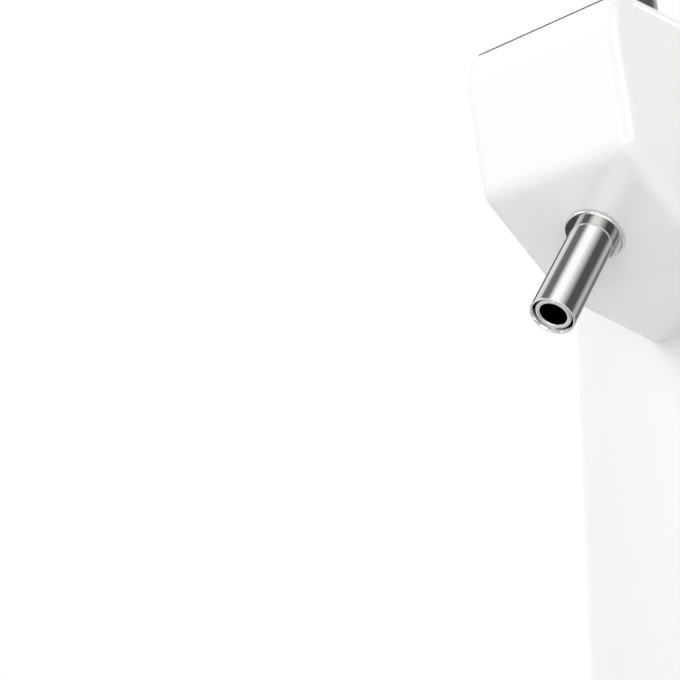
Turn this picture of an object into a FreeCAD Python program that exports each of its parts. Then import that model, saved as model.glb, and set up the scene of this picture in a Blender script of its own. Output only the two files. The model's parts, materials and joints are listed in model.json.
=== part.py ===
"""A worktop beer dispenser for a five litre mini keg, as an assembly of separate pieces.

Frame: X across the machine, Y from the tap (negative) to the back (positive), Z up. The origin is on the
worktop, under the middle of the machine's bounding box. Lengths are in millimetres, angles in degrees.
"""
import FreeCAD, Part

import math
import os

import Sketcher

V = FreeCAD.Vector
doc = FreeCAD.newDocument("MiniKegDispenser")
sheet = doc.addObject("Spreadsheet::Sheet", "Sizes")
cells = []
parts = []


class Size:
    """A size worked out from the sheet: its number, and the formula that gives it."""

    def __init__(self, value, formula):
        self.value = value
        self.formula = formula

    def __add__(self, other):
        other = size(other)
        return Size(self.value + other.value, "(%s + %s)" % (self.formula, other.formula))

    def __sub__(self, other):
        other = size(other)
        return Size(self.value - other.value, "(%s - %s)" % (self.formula, other.formula))

    def __mul__(self, other):
        other = size(other)
        return Size(self.value * other.value, "(%s * %s)" % (self.formula, other.formula))

    def __truediv__(self, other):
        other = size(other)
        return Size(self.value / other.value, "(%s / %s)" % (self.formula, other.formula))

    def __neg__(self):
        return Size(-self.value, "(0 - %s)" % self.formula)

    def __radd__(self, other):
        return size(other) + self

    def __rsub__(self, other):
        return size(other) - self

    def __rmul__(self, other):
        return size(other) * self


def size(number):
    """Reads a plain number as a Size."""
    if isinstance(number, Size):
        return number
    return Size(float(number), "(%.6f)" % number)


def cell(name, value):
    """Names one driving size in the sheet."""
    cells.append(name)
    place = "B%d" % len(cells)
    sheet.set("A%d" % len(cells), name)
    sheet.set(place, str(value))
    sheet.setAlias(place, name)
    return Size(float(value), "Sizes." + name)


def sine(angle):
    return Size(math.sin(math.radians(angle.value)), "sin(%s)" % angle.formula)


def cosine(angle):
    return Size(math.cos(math.radians(angle.value)), "cos(%s)" % angle.formula)


def bind(thing, path, value):
    thing.setExpression(path, size(value).formula)


# Helpers for pieces made from sketches

AXIS_PLANE = {"X": "YZ_Plane", "Y": "XZ_Plane", "Z": "XY_Plane"}


def piece(label, base=(0, 0, 0), tilt=None, spin=None, kept=True):
    """Starts a sub-part, or a block that one is cut with if kept is false.

    tilt leans its Z axis back about X, and spin turns it about Z, round its base point.
    """
    body = doc.addObject("PartDesign::Body", label)
    body.Label = label
    for axis, angle in ((V(-1, 0, 0), tilt), (V(0, 0, 1), spin)):
        if angle is not None:
            body.Placement = FreeCAD.Placement(V(0, 0, 0), FreeCAD.Rotation(axis, angle.value))
            bind(body, "Placement.Rotation.Angle", angle)
    for axis, value in zip("xyz", base):
        bind(body, "Placement.Base." + axis, value)
    if kept:
        parts.append(body)
    return body


def new_sketch(body, axis, at=0):
    """A sketch square to an axis of the body, at a distance along that axis."""
    sketch = body.newObject("Sketcher::SketchObject", "Outline")
    plane = [f for f in body.Origin.OriginFeatures if f.Role == AXIS_PLANE[axis]][0]
    sketch.AttachmentSupport = [(plane, "")]
    sketch.MapMode = "FlatFace"
    sign = -1 if axis == "Y" else 1
    bind(sketch, "AttachmentOffset.Base.z", size(at) * sign)
    sketch.AttachmentOffset = FreeCAD.Placement(V(0, 0, size(at).value * sign), FreeCAD.Rotation())
    return sketch


def pin_point(sketch, element, end, x, y):
    """Ties one end of a sketch element to its coordinates."""
    ties = [("DistanceX", size(x)), ("DistanceY", size(y))]
    numbers = sketch.addConstraint([Sketcher.Constraint(kind, -1, 1, element, end, value.value) for kind,
                                    value in ties])
    for number, (kind, value) in zip(numbers, ties):
        bind(sketch, "Constraints[%d]" % number, value)


def set_radius(sketch, element, radius):
    number = sketch.addConstraint(Sketcher.Constraint("Radius", element, size(radius).value))
    bind(sketch, "Constraints[%d]" % number, radius)


def circle(sketch, x, y, radius):
    element = sketch.addGeometry(Part.Circle(V(size(x).value, size(y).value, 0), V(0, 0, 1),
                                             size(radius).value), False)
    pin_point(sketch, element, 3, x, y)
    set_radius(sketch, element, radius)


def polygon(sketch, corners):
    """A closed outline through corners (x, y) or (x, y, r), where r rounds the corner with an arc."""
    points = [V(size(c[0]).value, size(c[1]).value, 0) for c in corners]
    radii = [c[2] if len(c) > 2 else None for c in corners]
    count = len(points)
    rails = []
    for i in range(count):
        rails.append(sketch.addGeometry(Part.LineSegment(points[i], points[(i + 1) % count]), True))
    for i in range(count):
        sketch.addConstraint(Sketcher.Constraint("Coincident", rails[i], 2, rails[(i + 1) % count], 1))
        pin_point(sketch, rails[i], 1, corners[i][0], corners[i][1])
    starts = list(points)
    ends = list(points)
    arcs = {}
    for i in range(count):
        if radii[i] is None:
            continue
        into = (points[i - 1] - points[i]).normalize()
        out = (points[(i + 1) % count] - points[i]).normalize()
        half = into.getAngle(out) / 2
        reach = size(radii[i]).value / math.tan(half)
        ends[i] = points[i] + into * reach
        starts[i] = points[i] + out * reach
        centre = points[i] + (into + out).normalize() * (size(radii[i]).value / math.sin(half))
        middle = centre + (points[i] - centre).normalize() * size(radii[i]).value
        goes_left = into.cross(out).z < 0
        first, last = (ends[i], starts[i]) if goes_left else (starts[i], ends[i])
        arcs[i] = Part.Arc(first, middle, last)
    lines = []
    for i in range(count):
        j = (i + 1) % count
        lines.append(sketch.addGeometry(Part.LineSegment(starts[i], ends[j]), False))
    for i in range(count):
        j = (i + 1) % count
        if i in arcs:
            arc = sketch.addGeometry(arcs[i], False)
            flipped = (sketch.Geometry[arc].StartPoint - ends[i]).Length > 1e-6
            first, last = (2, 1) if flipped else (1, 2)
            sketch.addConstraint(Sketcher.Constraint("Tangent", lines[i - 1], 2, arc, first))
            sketch.addConstraint(Sketcher.Constraint("Tangent", arc, last, lines[i], 1))
            set_radius(sketch, arc, radii[i])
            sketch.addConstraint(Sketcher.Constraint("PointOnObject", lines[i], 1, rails[i]))
        else:
            sketch.addConstraint(Sketcher.Constraint("Coincident", lines[i], 1, rails[i], 1))
        if j in arcs:
            sketch.addConstraint(Sketcher.Constraint("PointOnObject", lines[i], 2, rails[i]))
        else:
            sketch.addConstraint(Sketcher.Constraint("Coincident", lines[i], 2, rails[i], 2))


def box_corners(x0, y0, x1, y1, r=None):
    corners = [(x0, y0), (x1, y0), (x1, y1), (x0, y1)]
    return corners if r is None else [c + (r,) for c in corners]


def rebuild(body, *things):
    """Recomputes the sheet, the given objects and their body, and nothing else."""
    for thing in (sheet,) + things + (body,):
        thing.recompute()


def settle(body, feature, grows):
    """Recomputes a feature, and stops if it did nothing or its outline moved from where it was drawn."""
    before = body.Shape.Volume if body.Shape and not body.Shape.isNull() and body.Shape.Solids else 0.0
    sketch = feature.Profile[0]
    drawn = [g.length() for g in sketch.Geometry]
    rebuild(body, sketch, feature)
    if any(abs(g.length() - d) > 0.01 for g, d in zip(sketch.Geometry, drawn)):
        raise RuntimeError("%s: the outline of %s moved" % (body.Label, feature.Name))
    after = body.Shape.Volume
    if (grows and after <= before + 1e-6) or (not grows and after >= before - 1e-6):
        raise RuntimeError("%s: %s changes nothing" % (body.Label, feature.Name))
    return feature


def add_between(body, axis, low, high, draw):
    """Adds material from low to high along an axis, with the outline that draw makes."""
    sketch = new_sketch(body, axis, low)
    draw(sketch)
    pad = body.newObject("PartDesign::Pad", "Pad")
    pad.Profile = sketch
    pad.Reversed = axis == "Y"
    bind(pad, "Length", size(high) - size(low))
    return settle(body, pad, True)


def cut_between(body, axis, low, high, draw):
    """Removes material from low to high along an axis, with the outline that draw makes."""
    sketch = new_sketch(body, axis, low)
    draw(sketch)
    pocket = body.newObject("PartDesign::Pocket", "Pocket")
    pocket.Profile = sketch
    pocket.Reversed = axis != "Y"
    bind(pocket, "Length", size(high) - size(low))
    return settle(body, pocket, False)


def turn(body, corners, cut=False):
    """Revolves an outline of (radius, height) corners round the body's own Z axis."""
    sketch = new_sketch(body, "Y")
    polygon(sketch, corners)
    kind = "PartDesign::Groove" if cut else "PartDesign::Revolution"
    feature = body.newObject(kind, "Turned")
    feature.Profile = sketch
    feature.ReferenceAxis = (sketch, ["V_Axis"])
    feature.Angle = 360
    return settle(body, feature, not cut)


def ring(body, low, high, outer, inner=None, x=0, y=0):
    """Adds a disc, or a ring, about a vertical line."""
    def draw(sketch):
        circle(sketch, x, y, outer)
        if inner is not None:
            circle(sketch, x, y, inner)
    return add_between(body, "Z", low, high, draw)


def box(body, x0, x1, y0, y1, z0, z1, r=None):
    """Adds a box, with its upright edges rounded if r is given."""
    return add_between(body, "Z", z0, z1, lambda s: polygon(s, box_corners(x0, y0, x1, y1, r)))


def box_cut(body, x0, x1, y0, y1, z0, z1, r=None):
    return cut_between(body, "Z", z0, z1, lambda s: polygon(s, box_corners(x0, y0, x1, y1, r)))


def row(body, feature, axis, step, count):
    """Repeats a feature along X, Y or Z."""
    pattern = body.newObject("PartDesign::LinearPattern", "Row")
    pattern.Originals = [feature]
    line = [f for f in body.Origin.OriginFeatures if f.Role == axis + "_Axis"][0]
    pattern.Direction = (line, [""])
    pattern.Occurrences = count
    bind(pattern, "Length", size(step) * (count - 1))
    body.Tip = pattern
    rebuild(body, pattern)
    return pattern


def around(body, feature, axis, count):
    """Repeats a feature round one of the body's axes."""
    pattern = body.newObject("PartDesign::PolarPattern", "Round")
    pattern.Originals = [feature]
    line = [f for f in body.Origin.OriginFeatures if f.Role == axis + "_Axis"][0]
    pattern.Axis = (line, [""])
    pattern.Angle = 360
    pattern.Occurrences = count
    body.Tip = pattern
    rebuild(body, pattern)
    return pattern


def soften(body, radius, picks):
    """Rounds the edges that picks accepts, by their middle point and the edge."""
    names = []
    base = body.Tip
    for number, edge in enumerate(base.Shape.Edges, 1):
        if picks(edge.BoundBox.Center, edge):
            names.append("Edge%d" % number)
    feature = body.newObject("PartDesign::Fillet", "Softened")
    feature.Base = (base, names)
    bind(feature, "Radius", radius)
    rebuild(body, feature)
    if "Invalid" in feature.State or not feature.Shape.Solids:
        raise RuntimeError("%s: %d edges not softened" % (body.Label, len(names)))
    return feature


def group(label, solids):
    """One node that holds several separate equal solids."""
    node = doc.addObject("Part::Feature", label)
    node.Label = label
    node.Shape = Part.makeCompound(solids)
    parts.append(node)
    return node


# Driving sizes of the housing
body_width = cell("body_width", 230)
front_y = cell("front_y", -215)
back_y = cell("back_y", 215)
drum_y = cell("drum_y", 32)
rear_y = cell("rear_y", 205)
rear_corner = cell("rear_corner", 28)
shell_wall = cell("shell_wall", 3)
foot_height = cell("foot_height", 8)
base_top = cell("base_top", 50)
deck_bottom = cell("deck_bottom", 330)
deck_top = cell("deck_top", 340)
deck_plate = cell("deck_plate", 4)
fit_gap = cell("fit_gap", 0.3)
drum_r = body_width / 2
drum_front = drum_y - drum_r

# Driving sizes of the keg, its chamber and its fittings
keg_r = cell("keg_radius", 85.5)
keg_height = cell("keg_height", 248)
keg_gap = cell("keg_gap", 3.5)
liner_wall = cell("liner_wall", 1.5)
foam_wall = cell("foam_wall", 19)
chamber_floor = cell("chamber_floor", 62)
liner_corner = cell("liner_corner_radius", 3)
keg_wall = cell("keg_wall", 1)
bung_r = cell("bung_radius", 18)
coupler_r = cell("coupler_radius", 22)
line_r = cell("beer_line_radius", 3.5)
line_bore = cell("beer_line_bore", 2)
line_z = cell("beer_line_height", 319.5)
liner_in = keg_r + keg_gap
liner_out = liner_in + liner_wall
foam_out = liner_out + foam_wall
keg_bottom = chamber_floor + liner_wall
keg_top = keg_bottom + keg_height

# Driving sizes of the tap, taken from the photograph where they show in it
tilt = cell("spout_tilt", 35)
spout_y = cell("spout_y", -140)
spout_z = cell("spout_z", 298)
spout_r = cell("spout_radius", 6.5)
spout_length = cell("spout_length", 33.2)
spout_wall = cell("spout_wall", 1.2)
spigot_r = spout_r - cell("spigot_step", 0.5)
flange_r = cell("flange_radius", 8.7)
flange_thick = cell("flange_thickness", 1.6)
sleeve_bore = cell("sleeve_bore", 3.9)
sleeve_fit = cell("sleeve_fit", 0.05)
head_half = cell("head_half_width", 28)
head_wall = cell("head_wall", 2.8)
head_split = cell("head_split", 345)
tap_r = cell("tap_body_radius", 12)
chamber_r = cell("valve_chamber_radius", 7)
stem_r = cell("stem_radius", 2.5)
run_fit = cell("running_fit", 0.06)
pin_r = cell("pin_radius", 2)
link_r = cell("link_radius", 1.5)
link_arm = cell("link_arm", 9)
lever_half_swing = cell("lever_half_swing", 19)
lever_thick = cell("lever_thickness", 6)
machine_top = cell("machine_top", 455)

# Heights along the spout's own axis, from the collar's outer face, upwards
socket_low = flange_thick + head_wall
socket_top = cell("spout_socket_top", 12)
seat_s = cell("valve_seat_height", 16)
inlet_s = cell("inlet_height", 26.25)
bonnet_low = cell("bonnet_low", 38)
bonnet_top = cell("bonnet_top", 43)
link_s = cell("link_height", 49)
pivot_y = -(link_arm * (cosine(lever_half_swing) + 1) / 2)
pivot_s = link_s + link_arm * sine(lever_half_swing)
tap_base = (0, spout_y, spout_z)


def on_tap(y, s):
    """The (y, z) in the machine's frame of a point at (y, s) in the tap's tilted frame."""
    return (
        spout_y + y * cosine(tilt) + s * sine(tilt),
        spout_z - y * sine(tilt) + s * cosine(tilt),
    )


def d_shape(sketch, inset):
    """The housing's straight sides and back, which join the drum's circle."""
    r = rear_corner - inset
    x = drum_r - inset
    polygon(sketch, [(-x, drum_y), (x, drum_y), (x, rear_y - inset, r), (-x, rear_y - inset, r)])


def housing_prism(body, low, high, inset, cut=False):
    """A block, or a cut, with the housing's plan: a drum in front and a square back."""
    work = cut_between if cut else add_between
    work(body, "Z", low, high, lambda s: circle(s, 0, drum_y, drum_r - inset))
    work(body, "Z", low, high, lambda s: d_shape(s, inset))


# Base, feet and housing
shelf_r = cell("shelf_radius", 75)
shelf_top = cell("shelf_top", 20)


def tongue(sketch, inset, back):
    """The plan of the shelf and tray in front: straight sides with a half round nose."""
    half = shelf_r - inset
    polygon(sketch, [(-half, front_y + inset, half - 0.01), (half, front_y + inset, half - 0.01), (half,
                                                                                                   back),
                     (-half, back)])


base = piece("base_pan")
housing_prism(base, foot_height, base_top, 0)
cut_between(base, "Z", foot_height + shell_wall, base_top,
            lambda s: circle(s, 0, drum_y, drum_r - shell_wall))
cut_between(base, "Z", foot_height + shell_wall, base_top, lambda s: d_shape(s, shell_wall))
vent = box_cut(base, -30, 30, 150, 154, foot_height, foot_height + shell_wall)
row(base, vent, "Y", 9, 5)
foam_floor = chamber_floor - cell("floor_foam", 10)
ring(base, foot_height, foam_floor, 60, 57, 0, drum_y)
board_z = cell("board_height", 58)
BOARD_POSTS = [(x, y) for x in (-52, 52) for y in (156, 190)]
for x, y in BOARD_POSTS:
    ring(base, foot_height, board_z, 3.5, None, x, y)

FOOT_SPOTS = [(-80, 165), (80, 165), (-45, -170), (45, -170)]
foot_r = cell("foot_radius", 11)


def foot_solid(x, y):
    pad = Part.makeCone(foot_r.value - 1.5, foot_r.value, foot_height.value)
    dimple = Part.makeCone(foot_r.value - 5, foot_r.value - 6, 1.5)
    solid = pad.cut(dimple)
    solid.translate(V(x, y, 0))
    return solid


group("rubber_feet", [foot_solid(x, y) for x, y in FOOT_SPOTS])

# Shelf in front of the drum, hollow underneath, with two rails that guide the drip tray
shelf_back = drum_y - cell("shelf_back_reach", 72)
shelf = piece("tray_shelf")
add_between(shelf, "Z", foot_height, shelf_top, lambda s: tongue(s, 0, shelf_back))
cut_between(shelf, "Z", foot_height, shelf_top - shell_wall,
            lambda s: tongue(s, shell_wall, shelf_back - shell_wall))
for x, y in FOOT_SPOTS[2:]:
    ring(shelf, foot_height, shelf_top, foot_r + 1, None, x, y)
cut_between(shelf, "Z", foot_height, shelf_top, lambda s: circle(s, 0, drum_y, drum_r))
rail_half = cell("rail_half_width", 3)
rail_height = cell("rail_height", 4)
rail_front = front_y + 40
rail_back = drum_front - 2


def rail_solid(x):
    at = V(x - rail_half.value, rail_front.value, shelf_top.value)
    return Part.makeBox(2 * rail_half.value, (rail_back - rail_front).value, rail_height.value, at)


RAIL_SPOTS = (-50, 50)
group("tray_rails", [rail_solid(x) for x in RAIL_SPOTS])

shell = piece("outer_shell")
housing_prism(shell, base_top, deck_bottom, 0)
cut_between(shell, "Z", base_top, deck_bottom, lambda s: circle(s, 0, drum_y, drum_r - shell_wall))
cut_between(shell, "Z", base_top, deck_bottom, lambda s: d_shape(s, shell_wall))
cover_half = cell("rear_cover_half_width", 82)
box_cut(shell, -cover_half, cover_half, rear_y - shell_wall - 1, rear_y + 1, base_top, deck_bottom)
cut_between(shell, "Y", drum_front - 1, drum_front + 6, lambda s: circle(s, 0, line_z, line_r + 2.5))
dial_turn = cell("dial_azimuth", 38)
dial_z = cell("dial_height", 236)

flange_in = cell("rear_flange_half_width", 71)
deck_lip = cell("deck_lip", 4)
for side in (-1, 1):
    low, high = (flange_in, cover_half + 6) if side > 0 else (-(cover_half + 6), -flange_in)
    box(shell, low, high, rear_y - shell_wall - 3, rear_y - shell_wall, base_top, deck_bottom - deck_lip - 1)
SCREW_SPOTS = [(x, z) for x in (-74, 74) for z in (60, 190, 320)]
for x, z in SCREW_SPOTS:
    cut_between(shell, "Y", rear_y - shell_wall - 4, rear_y - shell_wall, lambda s: circle(s, x, z, 1.55))

# Rear cover with its grille, seated in the gap that the shell leaves at the back
fan_half = cell("fan_half", 40)
fan_z = cell("fan_height", 200)
cover = piece("rear_cover")
add_between(cover, "Y", rear_y - shell_wall, rear_y,
            lambda s: polygon(s, box_corners(-cover_half + fit_gap, base_top, cover_half - fit_gap,
                                             deck_bottom - fit_gap, 4)))
slot = cut_between(cover, "Y", rear_y - shell_wall - 1, rear_y + 1,
                   lambda s: polygon(s, box_corners(-36, fan_z - 37, 36, fan_z - 33, 1.9)))
row(cover, slot, "Z", 7.8, 10)
intake = cut_between(cover, "Y", rear_y - shell_wall - 1, rear_y + 1,
                     lambda s: polygon(s, box_corners(-30, 108, 30, 111.5, 1.7)))
row(cover, intake, "Z", 7, 4)
for side in (-1, 1):
    add_between(cover, "Y", rear_y, back_y, lambda s: polygon(s,
                                                              box_corners(side * 62 - 5, 288, side * 62 + 5,
                                                                          316, 4)))
knob_x = cell("gas_knob_x", -66)
knob_z = cell("gas_knob_height", 232)
switch_x = cell("switch_x", 50)
switch_z = cell("switch_height", 76)
inlet_x = cell("inlet_x", -50)
cut_between(cover, "Y", rear_y - shell_wall - 1, rear_y + 1, lambda s: circle(s, knob_x, knob_z, 6))
cut_between(cover, "Y", rear_y - shell_wall - 1, rear_y + 1,
            lambda s: polygon(s, box_corners(switch_x - 10, switch_z - 6.5, switch_x + 10, switch_z + 6.5)))
cut_between(cover, "Y", rear_y - shell_wall - 1, rear_y + 1, lambda s: circle(s, inlet_x, switch_z, 6.1))
for x, z in SCREW_SPOTS:
    cut_between(cover, "Y", rear_y - shell_wall - 1, rear_y + 1, lambda s: circle(s, x, z, 1.6))


def screw_solid(length, head_r, at, direction):
    """A pan head screw whose head sits on the surface at a point and whose shank runs inwards."""
    shank = Part.makeCylinder(1.5, length)
    head = Part.makeCylinder(head_r, 2, V(0, 0, -2))
    head = head.makeFillet(0.9, [e for e in head.Edges if e.BoundBox.ZMax < -1.9])
    slot_one = Part.makeBox(0.8, head_r * 1.2, 1, V(-0.4, -head_r * 0.6, -2))
    slot_two = Part.makeBox(head_r * 1.2, 0.8, 1, V(-head_r * 0.6, -0.4, -2))
    solid = shank.fuse(head).cut(slot_one).cut(slot_two)
    solid.Placement = FreeCAD.Placement(V(*at), FreeCAD.Rotation(V(0, 0, 1), V(*direction)))
    return solid


group("rear_cover_screws", [screw_solid(8, 3, (x, rear_y.value, z), (0, -1, 0)) for x, z in SCREW_SPOTS])

# Top deck: closes the shell, carries the lid hinge and opens over the keg chamber
lid_gap = cell("lid_gap", 3)
lid_r = drum_r - lid_gap
hinge_y = cell("hinge_y", 150)
hinge_z = cell("hinge_height", 347)
hinge_x = cell("hinge_x", 45)
hinge_r = cell("hinge_barrel_radius", 5)
barrel_half = cell("hinge_barrel_half", 10)
ear_thick = cell("hinge_ear", 5)
holder_x = cell("holder_x", -66)
holder_y = cell("holder_y", 178)
holder_r = cell("holder_radius", 14)

deck = piece("top_deck")
lip_inset = shell_wall + fit_gap
housing_prism(deck, deck_bottom, deck_top, 0)
housing_prism(deck, deck_bottom - deck_lip, deck_bottom, lip_inset)
housing_prism(deck, deck_bottom - deck_lip, deck_top - deck_plate, lip_inset + 1.5, cut=True)
ring(deck, deck_bottom, deck_top, liner_in + 4, liner_in, 0, drum_y)
cut_between(deck, "Z", deck_bottom, deck_top, lambda s: circle(s, 0, drum_y, liner_in))
ring(deck, deck_top, deck_top + 1.5, liner_in + 4, liner_in, 0, drum_y)


def ear(sketch):
    polygon(sketch, [(hinge_y - 7, deck_top - 1), (hinge_y + 7, deck_top - 1), (hinge_y + hinge_r,
                                                                                hinge_z + hinge_r, 4.9),
                     (hinge_y - hinge_r, hinge_z + hinge_r, 4.9)])


for side in (-1, 1):
    for step in (-1, 1):
        inner = hinge_x * side + (barrel_half + fit_gap) * step
        outer = inner + ear_thick * step
        low, high = (inner, outer) if step > 0 else (outer, inner)
        add_between(deck, "X", low, high, ear)
ears_span = hinge_x + barrel_half + fit_gap + ear_thick
cut_between(deck, "X", -ears_span - 1, ears_span + 1, lambda s: circle(s, hinge_y, hinge_z, pin_r))
cut_between(deck, "Z", deck_bottom, deck_top, lambda s: circle(s, holder_x, holder_y, holder_r + 0.2))

pin_half = barrel_half + fit_gap + ear_thick


def hinge_pin(side):
    at = V(side * hinge_x.value - pin_half.value, hinge_y.value, hinge_z.value)
    return Part.makeCylinder(pin_r.value, 2 * pin_half.value, at, V(1, 0, 0))


group("lid_hinge_pins", [hinge_pin(-1), hinge_pin(1)])

# Lid: a shallow dome with an inner tray of foam and a seal round its rim
lid_bottom = deck_top + fit_gap
lid_shoulder = cell("lid_shoulder", 362)
lid_crown = cell("lid_crown", 385)
lid_wall = cell("lid_wall", 3)
lid = piece("lid", (0, drum_y, 0))
turn(lid, [
    (0, lid_bottom), (lid_r, lid_bottom), (lid_r, lid_shoulder, 16), (40, lid_crown, 120),
    (0, lid_crown),
])
arm_back = hinge_y - drum_y
for side in (-1, 1):
    x = hinge_x * side
    add_between(lid, "X", x - barrel_half, x + barrel_half,
                lambda s: polygon(s, [(90, hinge_z - 4), (arm_back, hinge_z - hinge_r), (arm_back,
                                                                                         hinge_z + hinge_r),
                                      (90, hinge_z + hinge_r)]))
    add_between(lid, "X", x - barrel_half, x + barrel_half, lambda s: circle(s, arm_back, hinge_z, hinge_r))
inner_r = lid_r - lid_wall
turn(lid, [(0, lid_bottom), (inner_r, lid_bottom), (inner_r, lid_shoulder - lid_wall, 13),
           (40, lid_crown - lid_wall, 117), (0, lid_crown - lid_wall)], cut=True)
cut_between(lid, "X", -ears_span, ears_span, lambda s: circle(s, arm_back, hinge_z, pin_r + run_fit))

liner_plate = piece("lid_liner", (0, drum_y, 0))
turn(liner_plate, [(0, 358), (62, 358, 4), (76, 346, 4), (inner_r, 346), (inner_r, 348.5), (77, 348.5, 4),
                   (63, 360.5, 4),
                   (0, 360.5)])
seal = piece("lid_seal", (0, drum_y, 0))
turn(seal, [(96, deck_top), (101, deck_top), (101, 346), (96, 346)])

# Keg chamber
liner = piece("chamber_liner", (0, drum_y, 0))
turn(liner, [(0, chamber_floor), (liner_out, chamber_floor, liner_corner + liner_wall), (liner_out,
                                                                                         deck_bottom),
             (liner_in, deck_bottom), (liner_in, keg_bottom, liner_corner), (0, keg_bottom)])
line_hole = line_r + 0.7
cut_between(liner, "Y", -liner_out - 2, -liner_in + 2, lambda s: circle(s, 0, line_z, line_hole))
gas_r = cell("gas_hose_radius", 2.6)
gas_x = cell("gas_hose_x", -66)
gas_hole = gas_r + 1
cut_between(liner, "Y", 50, liner_out, lambda s: circle(s, gas_x, line_z, gas_hole))

foam = piece("insulation_jacket", (0, drum_y, 0))
foam_top = deck_bottom - 1
turn(foam, [(0, foam_floor), (foam_out, foam_floor, 4), (foam_out, foam_top), (liner_out, foam_top),
            (liner_out, chamber_floor, liner_corner + liner_wall), (0, chamber_floor)])
cut_between(foam, "Y", -foam_out - 1, -liner_out + 3, lambda s: circle(s, 0, line_z, line_hole))
cut_between(foam, "Y", 50, foam_out, lambda s: circle(s, gas_x, line_z, gas_hole))
block_half = cell("cold_block_half", 22)
cut_between(foam, "Y", 60, foam_out + 1,
            lambda s: polygon(s, box_corners(-block_half - 0.5, fan_z - block_half - 0.5, block_half + 0.5,
                                             fan_z + block_half + 0.5)))

# Keg, bung and coupler
keg = piece("mini_keg", (0, drum_y, 0))
chime = cell("keg_chime", 4)
panel_top = keg_top - chime
panel_bottom = keg_bottom + chime
turn(keg, [
    (0, panel_bottom), (keg_r - 7, panel_bottom), (keg_r - 5, keg_bottom),
    (keg_r - 1.5, keg_bottom), (keg_r, keg_bottom + 5), (keg_r, keg_top - 5),
    (keg_r - 1.5, keg_top), (keg_r - 5, keg_top), (keg_r - 7, panel_top), (0, panel_top),
])
turn(keg, [
    (0, panel_bottom + keg_wall), (keg_r - 6, panel_bottom + keg_wall),
    (keg_r - keg_wall, panel_bottom + 6), (keg_r - keg_wall, panel_top - 6),
    (keg_r - 6, panel_top - keg_wall), (0, panel_top - keg_wall),
], cut=True)
cut_between(keg, "Z", panel_top - keg_wall - 1, panel_top + 1, lambda s: circle(s, 0, 0, bung_r))
bung = piece("keg_bung", (0, drum_y, 0))
tube_r = cell("dip_tube_radius", 3)
turn(bung, [
    (tube_r, panel_top - 6), (bung_r - 1, panel_top - 6), (bung_r, panel_top - keg_wall),
    (bung_r, panel_top + 3), (tube_r, panel_top + 3),
])
coupler = piece("keg_coupler", (0, drum_y, 0))
coupler_top = keg_top + 26
turn(coupler, [(0, panel_top), (coupler_r, panel_top), (coupler_r, keg_top + 1, 1), (15, keg_top + 3, 1.5),
               (15, coupler_top - 6),
               (20, coupler_top - 5, 1), (20, coupler_top, 1.5), (0, coupler_top)])
turn(coupler, [(0, panel_top), (bung_r + 0.2, panel_top), (bung_r + 0.2, panel_top + 3), (tube_r,
                                                                                          panel_top + 3),
               (tube_r, line_z + 2),
               (0, line_z + 2)], cut=True)
port_reach = cell("coupler_port_reach", 27)
add_between(coupler, "Y", -port_reach, -14, lambda s: circle(s, 0, line_z, line_bore))
add_between(coupler, "X", -port_reach, -14, lambda s: circle(s, 0, line_z, gas_r - 1.2))
dip = piece("dip_tube", (0, drum_y, 0))
turn(dip, [(tube_r - 1, keg_bottom + 10), (tube_r, keg_bottom + 10), (tube_r, line_z), (tube_r - 1, line_z)])


def hose(label, points, bend, outer, bore):
    """A hose along straight runs that join in quarter bends of one radius."""
    points = [V(*p) for p in points]
    edges = []
    start = points[0]
    for i in range(1, len(points) - 1):
        into = (points[i - 1] - points[i]).normalize()
        out = (points[i + 1] - points[i]).normalize()
        first = points[i] + into * bend
        last = points[i] + out * bend
        middle = points[i] + (into + out) * bend - (into + out) * (bend / math.sqrt(2))
        edges += [Part.LineSegment(start, first).toShape(), Part.Arc(first, middle, last).toShape()]
        start = last
    edges.append(Part.LineSegment(start, points[-1]).toShape())
    path = Part.Wire(edges)
    along = points[1] - points[0]
    solids = []
    for radius in (outer, bore):
        profile = Part.Wire(Part.makeCircle(radius, points[0], along))
        shell_maker = Part.BRepOffsetAPI.MakePipeShell(path)
        shell_maker.add(profile)
        shell_maker.build()
        shell_maker.makeSolid()
        solids.append(shell_maker.shape())
    tube = solids[0].cut(solids[1])
    wanted = math.pi * (outer ** 2 - bore ** 2) * path.Length
    print("%s: length %.1f mm, volume %.1f of %.1f mm3" % (label, path.Length, tube.Volume, wanted))
    node = doc.addObject("Part::Feature", label)
    node.Label = label
    node.Shape = tube
    parts.append(node)


tap_inlet_y, tap_inlet_z = on_tap(0, inlet_s)
barb_reach = cell("barb_reach", 28)
collar_reach = cell("barb_collar_reach", 19)
hose("beer_line", [(0, (tap_inlet_y + collar_reach).value, line_z.value), (0, (drum_y - 15).value,
                                                                           line_z.value)],
     0, line_r.value, line_bore.value)
reg_front = cell("regulator_front", 164)
gas_rise = reg_front - cell("gas_hose_run", 22)
hose("gas_hose",
     [(gas_x.value, reg_front.value, knob_z.value), (gas_x.value, gas_rise.value, knob_z.value),
      (gas_x.value, gas_rise.value, line_z.value), (gas_x.value, drum_y.value, line_z.value),
      (-15.0, drum_y.value, line_z.value)],
     14, gas_r.value, gas_r.value - 1.2)

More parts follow.
